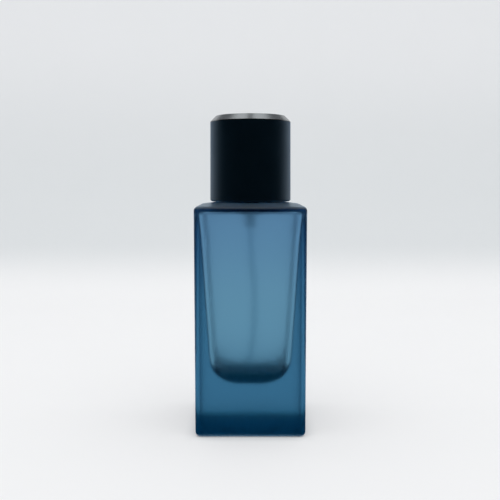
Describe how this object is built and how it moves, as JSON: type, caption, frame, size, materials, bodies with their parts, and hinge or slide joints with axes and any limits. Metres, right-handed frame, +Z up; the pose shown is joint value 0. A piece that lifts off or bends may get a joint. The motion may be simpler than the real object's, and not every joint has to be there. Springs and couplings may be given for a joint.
{
  "type": "aftershave bottle",
  "caption": "Square thick-base frosted blue glass bottle with a crimped spray pump, dip tube, spray button and a round matte black pull-off cap with a bevelled metal top.",
  "frame": {"origin": "centre of the glass base, on the surface that the bottle stands on", "axes": "+Z up along the neck; the spray hole faces -Y at rest, and the face seen in the picture is the -Y face"},
  "size_m": [0.04, 0.04, 0.1161],
  "materials": {
    "frosted_glass": "satin blue glass",
    "gasket_rubber": "soft grey elastomer",
    "pump_plastic": "moulded natural polypropylene",
    "tube_plastic": "extruded translucent polyethylene",
    "spring_steel": "drawn stainless steel",
    "ferrule_aluminium": "drawn bright aluminium",
    "black_aluminium": "satin black anodised",
    "black_plastic": "moulded black polypropylene",
    "cap_plastic": "matte soft-touch black",
    "plate_aluminium": "turned and satin polished"
  },
  "bodies": {
    "bottle": {"glass_bottle": "frosted_glass", "neck_gasket": "gasket_rubber", "pump_housing": "pump_plastic", "dip_tube": "tube_plastic", "return_spring": "spring_steel", "inner_gasket": "gasket_rubber", "turret": "pump_plastic", "crimp_ferrule": "ferrule_aluminium", "collar_insert": "pump_plastic", "collar_shell": "black_aluminium"},
    "ball": {"inlet_ball": "spring_steel"},
    "plunger": {"stem": "pump_plastic", "piston": "pump_plastic", "valve_pin": "pump_plastic"},
    "button": {"actuator_core": "black_plastic", "actuator_shell": "black_aluminium", "nozzle_insert": "black_plastic"},
    "cap": {"cap_shell": "cap_plastic", "cap_top_plate": "plate_aluminium", "cap_liner": "pump_plastic"}
  },
  "joints": [
    {"name": "cap_lift", "type": "slide", "parent": "bottle", "child": "cap", "axis": [0, 0, 1], "range_m": [0, 0.045]},
    {"name": "spray_press", "type": "slide", "parent": "bottle", "child": "plunger", "axis": [0, 0, -1], "range_m": [0, 0.0034], "stiffness_N_per_m": 800, "springref_m": -0.004, "deforming": ["return_spring"]},
    {"name": "actuator_turn", "type": "hinge", "parent": "plunger", "child": "button", "pos_m": [0, 0, 0.1], "axis": [0, 0, 1], "continuous": true},
    {"name": "ball_lift", "type": "slide", "parent": "bottle", "child": "ball", "axis": [0, 0, 1], "range_m": [0, 0.0008]}
  ]
}
